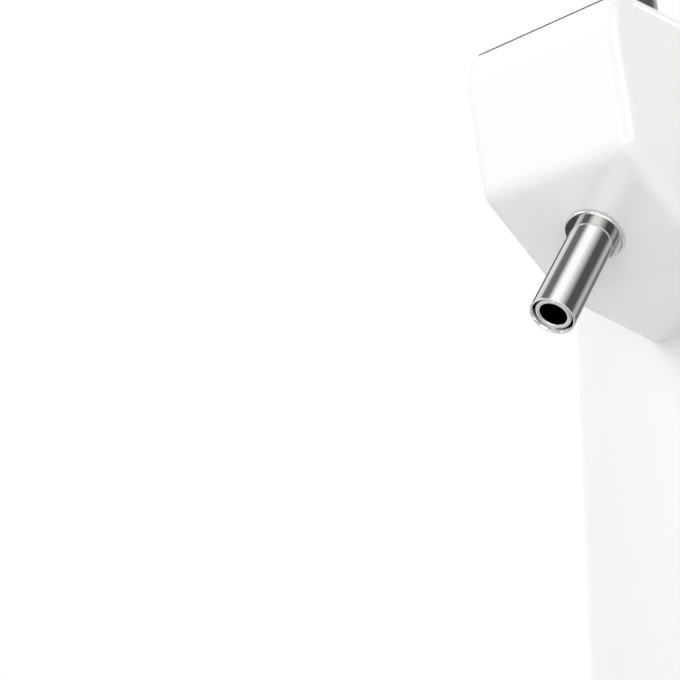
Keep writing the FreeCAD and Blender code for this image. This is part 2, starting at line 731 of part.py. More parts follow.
# Gas supply
holder = piece("cartridge_holder", (holder_x, holder_y, 0))
holder_low = cell("holder_bottom", 245)
cartridge_r = cell("cartridge_radius", 10.9)
turn(holder, [(2.5, holder_low), (holder_r, holder_low), (holder_r, deck_top), (17, deck_top), (17,
                                                                                                deck_top + 2),
              (holder_r - 2, deck_top + 2), (holder_r - 2, holder_low + 2), (2.5, holder_low + 2)])
cartridge = piece("gas_cartridge", (holder_x, holder_y, 0))
turn(cartridge, [(0, holder_low + 2), (4, holder_low + 2, 0.5), (4, 254), (cartridge_r, 262, 5),
                 (cartridge_r, 334, 6), (0, 334)])
cap = piece("cartridge_cap", (holder_x, holder_y, 0))
turn(cap, [
    (0, 335), (holder_r - 2.3, 335), (holder_r - 2.3, deck_top + 2.3), (16, deck_top + 2.3),
    (16, 357, 2), (0, 357),
])
groove = cut_between(cap, "Z", deck_top + 4, 358, lambda s: circle(s, 17.2, 0, 2))
around(cap, groove, "Z", 10)
regulator = piece("regulator_body")
add_between(regulator, "Y", reg_front, 196, lambda s: circle(s, knob_x, knob_z, 12.5))
box(regulator, knob_x - 7, knob_x + 7, 171, 185, knob_z, holder_low)
add_between(regulator, "Y", reg_front - 7, reg_front, lambda s: circle(s, knob_x, knob_z, gas_r - 1.2))
pressure = piece("pressure_knob", (knob_x, 0, knob_z))
add_between(pressure, "Y", rear_y + 0.4, back_y, lambda s: circle(s, 0, 0, 14))
add_between(pressure, "Y", 196.3, rear_y + 0.4, lambda s: circle(s, 0, 0, 4.5))
flute = cut_between(pressure, "Y", rear_y + 2, back_y, lambda s: circle(s, 15, 0, 2.2))
around(pressure, flute, "Y", 12)

# Cooling stack behind the chamber
block_back = cell("cold_block_back", 144)
module_thick = cell("module_thickness", 3.8)
sink_base = cell("sink_base", 5)
fin_depth = cell("fin_depth", 25)
module_back = block_back + module_thick
fins_from = module_back + sink_base
fins_to = fins_from + fin_depth
block = piece("cold_block")
box(block, -block_half, block_half, drum_y + 60, block_back, fan_z - block_half, fan_z + block_half)
cut_between(block, "Z", fan_z - block_half, fan_z + block_half, lambda s: circle(s, 0, drum_y, liner_out))
module = piece("peltier_module")
box(module, -20, 20, block_back, module_back, fan_z - 20, fan_z + 20)
sink = piece("heat_sink")
box(sink, -38, 38, module_back, fins_from, fan_z - 38, fan_z + 38)
fin = box(sink, -38, -36.4, fins_from - 0.5, fins_to, fan_z - 38, fan_z + 38)
row(sink, fin, "X", 5.3143, 15)
fan_front = fins_to
fan_back = fan_front + cell("fan_depth", 15)
hub_r = cell("fan_hub_radius", 15)
frame = piece("fan_frame")
add_between(frame, "Y", fan_front, fan_back,
            lambda s: polygon(s, box_corners(-fan_half, fan_z - fan_half, fan_half, fan_z + fan_half, 5)))
cut_between(frame, "Y", fan_front, fan_back, lambda s: circle(s, 0, fan_z, fan_half - 2))
for x, z in ((-35.5, -35.5), (35.5, -35.5), (-35.5, 35.5), (35.5, 35.5)):
    cut_between(frame, "Y", fan_front, fan_back, lambda s: circle(s, x, fan_z + z, 2.1))
add_between(frame, "Y", fan_back - 2, fan_back, lambda s: circle(s, 0, fan_z, hub_r))
add_between(frame, "Y", fan_back - 2, fan_back, lambda s: polygon(s, box_corners(-fan_half + 1, fan_z - 2,
                                                                                 fan_half - 1, fan_z + 2)))
add_between(frame, "Y", fan_back - 2, fan_back, lambda s: polygon(s, box_corners(-2, fan_z - fan_half + 1,
                                                                                 2, fan_z + fan_half - 1)))
add_between(frame, "Y", fan_back - 8, fan_back - 2, lambda s: circle(s, 0, fan_z, 2))
rotor = piece("fan_rotor", (0, 0, fan_z))
add_between(rotor, "Y", fan_front + 1, fan_back - 2.5, lambda s: circle(s, 0, 0, hub_r))
blade = add_between(rotor, "X", 0, fan_half - 4,
                    lambda s: polygon(s, [(fan_front + 1.5, -8), (fan_front + 3.3, -8.4), (fan_back - 3,
                                                                                           7.6),
                                          (fan_back - 4.8, 8)]))
around(rotor, blade, "Y", 7)
cut_between(rotor, "Y", fan_back - 8.5, fan_back - 2.5, lambda s: circle(s, 0, 0, 2.06))

# Electrics
board = piece("power_board")
box(board, -60, 60, 152, 196, board_z, board_z + 1.6)
box(board, -44, -18, 158, 182, board_z + 1.6, board_z + 22, 2)
box(board, 18, 40, 156, 160, board_z + 1.6, board_z + 26)
ring(board, board_z + 1.6, board_z + 24, 8, None, 0, 168)
ring(board, board_z + 1.6, board_z + 16, 5, None, 52, 176)
inlet = piece("power_inlet", (inlet_x, 0, switch_z))
add_between(inlet, "Y", 186, rear_y, lambda s: circle(s, 0, 0, 6))
add_between(inlet, "Y", rear_y, rear_y + 1.8, lambda s: circle(s, 0, 0, 8.5))
cut_between(inlet, "Y", rear_y - 8.5, rear_y + 1.8, lambda s: (circle(s, 0, 0, 2.9), circle(s, 0, 0, 1)))
surround = piece("switch_frame", (switch_x, rear_y, switch_z))
add_between(surround, "Y", -14, 0, lambda s: polygon(s, box_corners(-9.8, -6.3, 9.8, 6.3)))
add_between(surround, "Y", 0, 1.5, lambda s: polygon(s, box_corners(-12, -8, 12, 8, 1.5)))
cut_between(surround, "Y", -9, 1.5, lambda s: polygon(s, box_corners(-8.3, -5.6, 8.3, 5.6)))
trunnion_r = cell("switch_trunnion_radius", 1.2)
cut_between(surround, "X", -9.8, 9.8, lambda s: circle(s, 0, 0, trunnion_r + run_fit))
rocker = piece("power_switch", (switch_x, rear_y, switch_z))
add_between(rocker, "X", -8, 8, lambda s: polygon(s, [(-3, -3.4), (1.8, -4.6), (1.8, 0), (3.1, 4.6), (-3,
                                                                                                      3.4)]))
add_between(rocker, "X", -9.4, 9.4, lambda s: circle(s, 0, 0, trunnion_r))

# Temperature dial on the drum, to the right of the tap
DIAL = (0, drum_y, dial_z)
dial_r = cell("dial_plate_radius", 27)
plate = piece("dial_plate", DIAL, spin=dial_turn)
plate_front = -(drum_r + 4)
add_between(plate, "Y", plate_front, -drum_r + 6, lambda s: circle(s, 0, 0, dial_r))
cut_between(plate, "Z", -dial_r - 1, dial_r + 1, lambda s: circle(s, 0, 0, drum_r))
cut_between(plate, "Y", plate_front, plate_front + 3, lambda s: circle(s, 0, 0, 3.1))
cut_between(plate, "Y", plate_front, plate_front + 2.5, lambda s: circle(s, 0, -22, 2))
knob = piece("temperature_knob", DIAL, spin=dial_turn)
add_between(knob, "Y", plate_front - 14, plate_front - 0.4, lambda s: circle(s, 0, 0, 15))
add_between(knob, "Y", plate_front - 0.4, plate_front + 2.6, lambda s: circle(s, 0, 0, 3))
rib = cut_between(knob, "Y", plate_front - 14, plate_front - 3, lambda s: circle(s, 16, 0, 2))
around(knob, rib, "Y", 16)
lens = piece("indicator_lens", DIAL, spin=dial_turn)
add_between(lens, "Y", plate_front - 0.8, plate_front + 2.5, lambda s: circle(s, 0, -22, 2))

# Tap head on the front of the drum
underside_z = spout_z - 17
facet_low = on_tap(18, flange_thick)
facet_high = on_tap(-22, flange_thick)
inner_low = on_tap(16.8, socket_low)
inner_high = on_tap(-20.2, socket_low)
nose_y = spout_y - 23
root_y = drum_front + 15
edge_round = cell("head_edge_round", 5)


def on_side(middle):
    """Whether an edge's middle lies on the head's left or right side, in front of its root."""
    return abs(abs(middle.x) - head_half.value) < 0.01 and middle.y < root_y.value - 0.5


head = piece("head_shell")
add_between(head, "X", -head_half, head_half,
            lambda s: polygon(s, [(root_y, underside_z), facet_low + (10,), facet_high + (8,), (nose_y,
                                                                                                head_split),
                                  (root_y, head_split)]))
soften(head, edge_round, lambda c, e: on_side(c) and c.z < head_split.value - 0.5)
cut_between(head, "X", -head_half + head_wall, head_half - head_wall,
            lambda s: polygon(s, [(root_y + 1, underside_z + head_wall), inner_low + (8,),
                                  inner_high + (6,), (nose_y + head_wall, head_split + 1), (root_y + 1,
                                                                                            head_split + 1)]))
cut_between(head, "Z", spout_z - 40, head_split + 5, lambda s: circle(s, 0, drum_y, drum_r))
cap_top = cell("head_cap_top", 359)
crown = piece("head_cap")
add_between(crown, "X", -head_half, head_half,
            lambda s: polygon(s, [(nose_y, head_split), (root_y, head_split), (root_y, cap_top),
                                  (nose_y + 2, cap_top, 10)]))
soften(crown, edge_round, lambda c, e: on_side(c) and c.z > head_split.value + 0.5)
box_cut(crown, -head_half + head_wall, head_half - head_wall, nose_y + head_wall, root_y + 1, head_split,
        cap_top - head_wall)
cut_between(crown, "Z", head_split, cap_top + 1, lambda s: circle(s, 0, drum_y, drum_r))
slot_half = lever_thick / 2 + 1
box_cut(crown, -slot_half, slot_half, -138, -110, cap_top - head_wall - 1, cap_top + 1, 3.5)


def slanted(body, s, radius, length, cut=False):
    """A level stub, or bore, that leaves the tilted tap backwards from its own axis."""
    sketch = body.newObject("Sketcher::SketchObject", "Outline")
    plane = [f for f in body.Origin.OriginFeatures if f.Role == "XZ_Plane"][0]
    sketch.AttachmentSupport = [(plane, "")]
    sketch.MapMode = "FlatFace"
    sketch.AttachmentOffset = FreeCAD.Placement(V(0, s.value, 0), FreeCAD.Rotation(V(1, 0, 0), tilt.value))
    bind(sketch, "AttachmentOffset.Base.y", s)
    bind(sketch, "AttachmentOffset.Rotation.Angle", tilt)
    circle(sketch, 0, 0, radius)
    feature = body.newObject("PartDesign::Pocket" if cut else "PartDesign::Pad", "Stub")
    feature.Profile = sketch
    feature.Reversed = not cut
    bind(feature, "Length", length)
    settle(body, feature, not cut)


# Spout and tap, in a frame whose Z axis is the spout's own
sketch = head.newObject("Sketcher::SketchObject", "Outline")
head_plane = [f for f in head.Origin.OriginFeatures if f.Role == "XY_Plane"][0]
sketch.AttachmentSupport = [(head_plane, "")]
sketch.MapMode = "FlatFace"
sketch.AttachmentOffset = FreeCAD.Placement(V(0, spout_y.value, spout_z.value),
                                            FreeCAD.Rotation(V(-1, 0, 0), tilt.value))
bind(sketch, "AttachmentOffset.Base.y", spout_y)
bind(sketch, "AttachmentOffset.Base.z", spout_z)
bind(sketch, "AttachmentOffset.Rotation.Angle", tilt)
circle(sketch, 0, 0, spigot_r + 0.3)
spout_hole = head.newObject("PartDesign::Pocket", "SpoutHole")
spout_hole.Profile = sketch
spout_hole.Reversed = True
bind(spout_hole, "Length", socket_low + 1)
settle(head, spout_hole, False)

mouth = -spout_length
spout = piece("spout_tube", tap_base, tilt=tilt)
tube_in = spout_r - spout_wall
turn(spout, [(tube_in, socket_top), (tube_in, mouth + 1.9), (spout_r - 0.5, mouth, 0.2), (spout_r, mouth,
                                                                                          0.25),
             (spout_r, 0), (spigot_r, 0), (spigot_r, socket_top)])
sleeve = piece("spout_sleeve", tap_base, tilt=tilt)
turn(sleeve, [(sleeve_bore, socket_top), (sleeve_bore, mouth + 0.6, 0.5),
              (tube_in - sleeve_fit, mouth + 0.6, 0.5), (tube_in - sleeve_fit, socket_top)])
flange = piece("spout_flange", tap_base, tilt=tilt)
turn(flange, [(spigot_r, 0), (flange_r, 0, 0.5), (flange_r, flange_thick, 0.3), (spigot_r, flange_thick)])
tap = piece("tap_body", tap_base, tilt=tilt)
turn(tap, [(0, socket_low), (tap_r, socket_low), (tap_r, bonnet_low), (0, bonnet_low)])
slanted(tap, inlet_s, line_bore + 0.7, collar_reach)
slanted(tap, inlet_s, line_bore, barb_reach)
turn(tap, [
    (0, socket_low - 1), (spigot_r, socket_low - 1), (spigot_r, socket_top), (4, socket_top),
    (4, seat_s), (chamber_r, seat_s), (chamber_r, bonnet_low + 1), (0, bonnet_low + 1),
], cut=True)
slanted(tap, inlet_s, line_bore - 0.8, barb_reach + 1, cut=True)
bonnet = piece("tap_bonnet", tap_base, tilt=tilt)
turn(bonnet, [(stem_r + run_fit, bonnet_low), (tap_r, bonnet_low), (tap_r, bonnet_top), (stem_r + run_fit,
                                                                                         bonnet_top)])
cheek_in = cell("ear_gap_half", 6.5)
for side in (-1, 1):
    low, high = (cheek_in, cheek_in + 3) if side > 0 else (-(cheek_in + 3), -cheek_in)
    add_between(bonnet, "X", low, high,
                lambda s: polygon(s, [(pivot_y - 5, bonnet_low + 2), (2, bonnet_low + 2), (pivot_y + 5,
                                                                                           pivot_s + 5,
                                                                                           4.5),
                                      (pivot_y - 5, pivot_s + 5, 4.5)]))
cut_between(bonnet, "X", -11, 11, lambda s: circle(s, pivot_y, pivot_s, pin_r))
lever_pin = piece("lever_pin", tap_base, tilt=tilt)
add_between(lever_pin, "X", -11, 11, lambda s: circle(s, pivot_y, pivot_s, pin_r))
stem_seal = piece("stem_seal", tap_base, tilt=tilt)
turn(stem_seal, [(stem_r + run_fit, bonnet_low - 1.2), (chamber_r, bonnet_low - 1.2), (chamber_r,
                                                                                       bonnet_low),
                 (stem_r + run_fit, bonnet_low)])
washer = piece("valve_washer", tap_base, tilt=tilt)
turn(washer, [(0, seat_s), (5.5, seat_s), (5.5, seat_s + 2), (0, seat_s + 2)])
stem = piece("valve_stem", tap_base, tilt=tilt)
fork_low = bonnet_top + 0.6
fork_half = cell("fork_half_depth", 3.4)
turn(stem, [(0, seat_s + 2), (5.5, seat_s + 2), (5.5, seat_s + 4), (stem_r, seat_s + 4), (stem_r, fork_low),
            (0, fork_low)])
box(stem, -6, 6, -fork_half, fork_half, fork_low, link_s + 3.4)
box_cut(stem, -lever_thick / 2 - 0.2, lever_thick / 2 + 0.2, -fork_half, fork_half, fork_low + 1,
        link_s + 3.4)
cut_between(stem, "X", -6, 6, lambda s: polygon(s, box_corners(-2.05, link_s - link_r - 0.15, 2.05,
                                                               link_s + link_r + 0.15, 1.6)))


def coil(label, radius, wire, low, high, turns):
    """A coil spring on the tap's axis: one wire swept along arcs that follow the helix."""
    steps = turns * 2
    rise = (high - low) / (2 * math.pi * turns)

    def at(angle):
        return V(radius * math.cos(angle), radius * math.sin(angle), low + rise * angle)

    def heading(angle):
        return V(-radius * math.sin(angle), radius * math.cos(angle), rise).normalize()

    def arc(start, way, end):
        chord = end - start
        side = (way - chord * (way.dot(chord) / chord.dot(chord))).normalize()
        bend = way.getAngle(chord)
        return Part.Arc(start, (start + end) / 2 + side * (chord.Length / 2 * math.tan(bend / 2)),
                        end).toShape()

    edges = []
    for i in range(steps):
        a0 = math.pi * i
        a1 = a0 + math.pi
        span = at(a1) - at(a0)
        t0 = heading(a0)
        t1 = heading(a1)
        lean = 1 - t0.dot(t1)
        both = span.dot(t0 + t1)
        reach = (-both + math.sqrt(both ** 2 + 2 * lean * span.dot(span))) / (2 * lean)
        middle = (at(a0) + at(a1) + (t0 - t1) * reach) / 2
        way = (at(a1) - t1 * reach - middle).normalize()
        edges += [arc(at(a0), t0, middle), arc(middle, way, at(a1))]
    path = Part.Wire(edges)
    maker = Part.BRepOffsetAPI.MakePipeShell(path)
    maker.add(Part.Wire(Part.makeCircle(wire, at(0), heading(0))))
    maker.build()
    maker.makeSolid()
    points = [at(2 * math.pi * k / 24) for k in range(24 * turns + 1)]
    least = min((points[i] - points[j]).Length for i in range(len(points)) for j in range(i + 16,
                                                                                          len(points)))
    print("%s: least gap between turns %.2f mm" % (label, least - 2 * wire))
    node = doc.addObject("Part::Feature", label)
    node.Label = label
    node.Shape = maker.shape()
    node.Placement = FreeCAD.Placement(V(0, spout_y.value, spout_z.value), FreeCAD.Rotation(V(-1, 0, 0),
                                                                                            tilt.value))
    parts.append(node)


coil("valve_spring", 4.4, 0.5, (seat_s + 4.6).value, (bonnet_low - 1.8).value, 5)

# Lever: a cranked blade on the pin, with a turned grip
handle_tilt = cell("handle_tilt", 5)
pivot_at = on_tap(pivot_y, pivot_s)
pivot_base = (0,) + pivot_at
crank = tilt - handle_tilt + lever_half_swing
link_y = link_arm * cosine(crank)
link_z = -(link_arm * sine(crank))
blade_half = lever_thick / 2
grip_low = cell("grip_bottom", 26)
lever = piece("tap_lever", pivot_base, tilt=handle_tilt)
add_between(lever, "X", -blade_half, blade_half, lambda s: circle(s, 0, 0, 5))
add_between(lever, "X", -blade_half, blade_half, lambda s: circle(s, link_y, link_z, 2.7))
add_between(lever, "X", -blade_half, blade_half, lambda s: polygon(s,
                                                                   [(-2, -3), (2.5, 2.5), (link_y + 1.7,
                                                                                           link_z + 1.5),
                                                                    (link_y - 1.9, link_z - 1.6)]))
add_between(lever, "X", -blade_half, blade_half, lambda s: polygon(s, box_corners(-4, 0, 4, grip_low)))
ring(lever, grip_low, grip_low + 18, 2.5)
cut_between(lever, "X", -blade_half, blade_half, lambda s: circle(s, 0, 0, pin_r + run_fit))
cut_between(lever, "X", -blade_half, blade_half, lambda s: circle(s, link_y, link_z, link_r))
link_pin = piece("link_pin", pivot_base, tilt=handle_tilt)
add_between(link_pin, "X", -5.9, 5.9, lambda s: circle(s, link_y, link_z, link_r))
grip = piece("lever_grip", pivot_base, tilt=handle_tilt)
grip_top = (machine_top - pivot_at[1]) / cosine(handle_tilt)
turn(grip, [
    (2.5, grip_low), (6.5, grip_low, 1), (6.5, grip_low + 6, 2), (5.5, grip_low + 12, 20),
    (10, grip_top - 16, 30), (8.5, grip_top, 7.5), (0, grip_top), (0, grip_low + 18),
    (2.5, grip_low + 18),
])

# Drip tray and its grille
tray_low = shelf_top + fit_gap
tray_top = cell("tray_top", 48)
tray_wall = cell("tray_wall", 3)
grille_low = cell("grille_seat", 44)
tray_back = drum_front - cell("tray_clearance", 1.2)


def tongue_block(label, inset, low, high):
    """A block with the tray's plan, smaller all round by an inset."""
    made = piece(label, kept=False)
    add_between(made, "Z", low, high, lambda s: tongue(s, inset, tray_back - inset))
    return made


def combine(label, kind, base_body, tool_body, kept=True):
    node = doc.addObject("Part::" + kind, label)
    node.Label = label
    node.Base = base_body
    node.Tool = tool_body
    node.recompute()
    if kept:
        parts.append(node)
    return node


tray_block = tongue_block("tray_block", 0, tray_low, tray_top)
for x in RAIL_SPOTS:
    box_cut(tray_block, x - rail_half - fit_gap, x + rail_half + fit_gap, rail_front - fit_gap, tray_back + 1,
            tray_low, shelf_top + rail_height + fit_gap)
tray_well = tongue_block("tray_well", tray_wall + 3, shelf_top + 7, tray_top)
tray_rebate = tongue_block("tray_rebate", tray_wall, grille_low, tray_top)
tray_step = combine("tray_step", "Cut", tray_block, tray_well, kept=False)
combine("drip_tray", "Cut", tray_step, tray_rebate)
grille_thick = cell("grille_thickness", 1.5)
grille_block = tongue_block("grille_block", tray_wall + 0.4, grille_low + 0.1, grille_low + grille_thick)
grille_field = tongue_block("grille_field", tray_wall + 8, grille_low, grille_low + grille_thick + 1)
grille_slots = piece("grille_slots", kept=False)
long_slot = box(grille_slots, -58, -54, front_y, drum_front + 40, grille_low - 1,
                grille_low + grille_thick + 2)
row(grille_slots, long_slot, "X", 8, 15)
slots_inside = combine("slots_inside", "Common", grille_field, grille_slots, kept=False)
combine("drip_grille", "Cut", grille_block, slots_inside)

doc.recompute()
for thing in doc.Objects:
    if "Invalid" in thing.State or "Error" in thing.State:
        raise RuntimeError("%s failed: %s" % (thing.Label, thing.State))
GROUPS = {"rubber_feet": 4, "tray_rails": 2, "rear_cover_screws": 6, "lid_hinge_pins": 2}
os.makedirs("parts", exist_ok=True)
for part in parts:
    shape = part.Shape
    wanted = GROUPS.get(part.Label, 1)
    if shape.isNull() or not shape.isValid() or len(shape.Solids) != wanted:
        raise RuntimeError("%s: not valid, or %d solids" % (part.Label, len(shape.Solids)))
for part in parts:
    part.Shape.exportStep("parts/%s.step" % part.Label)
print("%d sub-parts written" % len(parts))
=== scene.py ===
# %% [markdown]
# A worktop dispenser for a five litre mini keg. The exact solids come in as a fixed frame, and this
# script gives them their finishes, adds the printed dial marks, and sets a studio round the polished
# spout, because polished metal is only as interesting as what it mirrors.

# %% Load the frame
import json
import math

import bmesh
import bpy
from mathutils import Matrix, Vector


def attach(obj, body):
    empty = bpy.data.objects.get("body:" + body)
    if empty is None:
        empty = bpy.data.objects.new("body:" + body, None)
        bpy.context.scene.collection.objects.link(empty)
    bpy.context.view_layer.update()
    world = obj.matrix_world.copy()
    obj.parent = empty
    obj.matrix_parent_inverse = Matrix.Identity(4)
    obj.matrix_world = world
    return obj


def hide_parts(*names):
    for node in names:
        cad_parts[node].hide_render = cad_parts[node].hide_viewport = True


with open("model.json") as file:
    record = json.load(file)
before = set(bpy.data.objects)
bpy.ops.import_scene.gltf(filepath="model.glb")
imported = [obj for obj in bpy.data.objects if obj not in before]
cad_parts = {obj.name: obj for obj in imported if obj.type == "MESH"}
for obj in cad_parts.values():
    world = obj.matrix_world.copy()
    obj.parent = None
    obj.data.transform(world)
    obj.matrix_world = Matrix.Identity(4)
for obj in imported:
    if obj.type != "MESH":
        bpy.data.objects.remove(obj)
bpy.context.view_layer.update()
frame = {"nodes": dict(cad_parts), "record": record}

# %% [markdown]
# The camera stands where the photograph's did, close to the spout and a little below it, on its right
# hand side. A long lens keeps the tube's sides nearly parallel. It is placed from the collar: a distance
# back, and a sidestep that brings the collar to the right of the picture.

# %% Camera
AZIMUTH = math.radians(48.2)
ELEVATION = math.radians(-15.6)
COLLAR = Vector((0.0, -0.140, 0.298))
BACK_OFF = 0.451
SIDESTEP = 0.0712
DROP = 0.0291
LENS = 85
SENSOR = 36
NEAREST = 0.01


def camera_axes():
    """The camera's right, up and backward directions."""
    back = Vector((math.sin(AZIMUTH) * math.cos(ELEVATION), -math.cos(AZIMUTH) * math.cos(ELEVATION),
                   math.sin(ELEVATION)))
    right = Vector((math.cos(AZIMUTH), math.sin(AZIMUTH), 0))
    return right, back.cross(right), back


def place_camera():
    """Adds the camera at its place from the collar and makes it the scene's own."""
    right, up, back = camera_axes()
    camera_data = bpy.data.cameras.new("photo_camera")
    camera_data.lens = LENS
    camera_data.sensor_width = SENSOR
    camera_data.clip_start = NEAREST
    camera = bpy.data.objects.new("photo_camera", camera_data)
    bpy.context.scene.collection.objects.link(camera)
    turn = Matrix((right, up, back)).transposed()
    spot = COLLAR + back * BACK_OFF - right * SIDESTEP - up * DROP
    camera.matrix_world = Matrix.Translation(spot) @ turn.to_4x4()
    bpy.context.scene.camera = camera
    return camera


camera = place_camera()
print("camera at", [round(x, 4) for x in camera.matrix_world.translation])

# %% [markdown]
# Each finish is a plain shader whose constants sit on the shader's own sockets. Real surfaces are never
# quite even, so a noise on object coordinates stirs the roughness or raises a very low relief.


# %% A helper for finishes
SHINIER = 0.06
DULLER = 0.08
SHINIEST = 0.02
RELIEF_STRENGTH = 0.3


def finish(slot_name, colour, roughness, metal=0.0, coat=0.0, grain=None, grain_scale=900.0, relief=0.0):
    """A material named after its slot, with a little noise in its roughness and relief."""
    material = bpy.data.materials.new(slot_name)
    material.use_nodes = True
    nodes = material.node_tree.nodes
    links = material.node_tree.links
    shader = nodes["Principled BSDF"]
    shader.inputs["Base Color"].default_value = (*colour, 1)
    shader.inputs["Metallic"].default_value = metal
    shader.inputs["Roughness"].default_value = roughness
    shader.inputs["Coat Weight"].default_value = coat
    if grain is not None:
        place = nodes.new("ShaderNodeTexCoord")
        stretch = nodes.new("ShaderNodeMapping")
        stretch.inputs["Scale"].default_value = grain
        noise = nodes.new("ShaderNodeTexNoise")
        noise.inputs["Scale"].default_value = grain_scale
        noise.inputs["Detail"].default_value = 3
        spread = nodes.new("ShaderNodeMapRange")
        spread.inputs["To Min"].default_value = max(roughness - SHINIER, SHINIEST)
        spread.inputs["To Max"].default_value = roughness + DULLER
        links.new(place.outputs["Object"], stretch.inputs["Vector"])
        links.new(stretch.outputs["Vector"], noise.inputs["Vector"])
        links.new(noise.outputs["Fac"], spread.inputs["Value"])
        links.new(spread.outputs["Result"], shader.inputs["Roughness"])
        if relief:
            bump = nodes.new("ShaderNodeBump")
            bump.inputs["Strength"].default_value = RELIEF_STRENGTH
            bump.inputs["Distance"].default_value = relief
            links.new(noise.outputs["Fac"], bump.inputs["Height"])
            links.new(bump.outputs["Normal"], shader.inputs["Normal"])
    return material


# %% [markdown]
# The housing is glossy moulded plastic, the spout is polished stainless, and the small hidden pieces each
# have a plainer finish. Brushing is a noise stretched along one direction, and fine mould texture is one
# that isn't.

# %% The finishes
FINISHES = {
    "white_housing": finish("white_housing", (0.86, 0.86, 0.85), 0.18, coat=0.35, grain=(1, 1, 1),
                            grain_scale=60),
    "dark_plastic": finish("dark_plastic", (0.022, 0.022, 0.025), 0.42, grain=(1, 1, 1), relief=0.00004),
    "polished_steel": finish("polished_steel", (0.72, 0.71, 0.70), 0.055, metal=1.0),
    "brushed_steel": finish("brushed_steel", (0.60, 0.60, 0.60), 0.30, metal=1.0, grain=(1, 1, 0.04),
                            grain_scale=1500, relief=0.00001),
    "black_rubber": finish("black_rubber", (0.02, 0.02, 0.02), 0.75, grain=(1, 1, 1), relief=0.00003),
    "foam": finish("foam", (0.80, 0.74, 0.58), 0.9, grain=(1, 1, 1), grain_scale=400, relief=0.0004),
    "liner_metal": finish("liner_metal", (0.70, 0.71, 0.72), 0.36, metal=1.0, grain=(1, 1, 0.06),
                          grain_scale=900),
    "keg_paint": finish("keg_paint", (0.36, 0.38, 0.40), 0.28, metal=0.9, coat=0.3, grain=(1, 1, 1),
                        grain_scale=40),
    "clear_hose": finish("clear_hose", (0.78, 0.80, 0.78), 0.25, coat=0.3),
    "green_board": finish("green_board", (0.02, 0.13, 0.05), 0.4, grain=(1, 1, 1), grain_scale=300),
    "grey_plastic": finish("grey_plastic", (0.30, 0.31, 0.32), 0.4, grain=(1, 1, 1), relief=0.00003),
    "green_lens": finish("green_lens", (0.04, 0.55, 0.16), 0.12, coat=0.5),
}
for entry in frame["record"]["subparts"]:
    node = frame["nodes"][entry["node"]]
    node.data.materials.clear()
    node.data.materials.append(FINISHES[entry["material_slot"]])
print(len(FINISHES), "finishes on", len(frame["nodes"]), "nodes")

# %% [markdown]
# The temperature dial has a ring of short printed ticks and numbers. On the real plate they are a thin
# layer of ink, so each is a flat shape a tenth of a millimetre thick, laid on the plate's front face.

# %% Ink
DIAL_TURN = math.radians(38)
DRUM_CENTRE = Vector((0, 0.032, 0.236))
PLATE_FRONT = 0.119
KNOB_FRONT = 0.133
INK_THICK = 0.0001
ink = finish("white_ink", (0.82, 0.82, 0.80), 0.5)


def dial_place(front):
    """A frame on the dial: X to its right, Y up it, Z out of it."""
    out = Vector((math.sin(DIAL_TURN), -math.cos(DIAL_TURN), 0))
    side = Vector((math.cos(DIAL_TURN), math.sin(DIAL_TURN), 0))
    turn = Matrix((side, Vector((0, 0, 1)), out)).transposed().to_4x4()
    return Matrix.Translation(DRUM_CENTRE + out * front) @ turn


def add_piece(name, shape, body, material):
    """Makes an object of a bmesh, gives it its finish and lets it ride on a body of the frame."""
    mesh = bpy.data.meshes.new(name)
    shape.to_mesh(mesh)
    shape.free()
    piece = bpy.data.objects.new(name, mesh)
    bpy.context.scene.collection.objects.link(piece)
    mesh.materials.append(material)
    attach(piece, body)
    return piece


# %% Dial ticks
TICKS = 9
TICK_SWEEP = 270
TICK_INNER = 0.0168
TICK_OUTER = 0.0192
TICK_WIDTH = 0.0007
POINTER_INNER = 0.004
POINTER_OUTER = 0.0122
POINTER_WIDTH = 0.0011


def tick_bar(shape, angle, near, far, width, place):
    """Adds a thin bar that points out from the dial's middle, from near to far."""
    spot = Matrix.Rotation(angle, 4, "Z") @ Matrix.Translation((0, (near + far) / 2, INK_THICK / 2))
    size = Matrix.Diagonal((width, far - near, INK_THICK, 1))
    bmesh.ops.create_cube(shape, size=1, matrix=place @ spot @ size)


ticks = bmesh.new()
for i in range(TICKS):
    tick_angle = math.radians(TICK_SWEEP / 2 - i * TICK_SWEEP / (TICKS - 1))
    tick_bar(ticks, tick_angle, TICK_INNER, TICK_OUTER, TICK_WIDTH, dial_place(PLATE_FRONT))
add_piece("dial_ticks", ticks, "root", ink)

pointer = bmesh.new()
tick_bar(pointer, math.radians(TICK_SWEEP / 2), POINTER_INNER, POINTER_OUTER, POINTER_WIDTH,
         dial_place(KNOB_FRONT))
add_piece("knob_pointer", pointer, "temperature_dial", ink)
print(TICKS, "ticks")

# %% [markdown]
# Every second tick has a number. Type starts as a text curve, which Blender fills and gives its
# thickness, and then it becomes a mesh, so that its place can be in its points as it is for every other
# piece.

# %% Dial numbers
NUMBER_RING = 0.0222
NUMBER_HEIGHT = 0.0042
SAME_SPOT = 1e-7


def number_mesh(text, x, y, height, place, name):
    """A digit as a thin mesh, centred on a spot of the dial."""
    curve = bpy.data.curves.new(name, "FONT")
    curve.body = text
    curve.size = height
    curve.align_x = "CENTER"
    curve.align_y = "CENTER"
    curve.extrude = INK_THICK / 2
    holder = bpy.data.objects.new(name + "_text", curve)
    bpy.context.scene.collection.objects.link(holder)
    bpy.context.view_layer.update()
    mesh = bpy.data.meshes.new_from_object(holder)
    bpy.data.objects.remove(holder)
    shape = bmesh.new()
    shape.from_mesh(mesh)
    bmesh.ops.remove_doubles(shape, verts=shape.verts, dist=SAME_SPOT)
    bmesh.ops.transform(shape, matrix=place @ Matrix.Translation((x, y, INK_THICK / 2)), verts=shape.verts)
    return shape


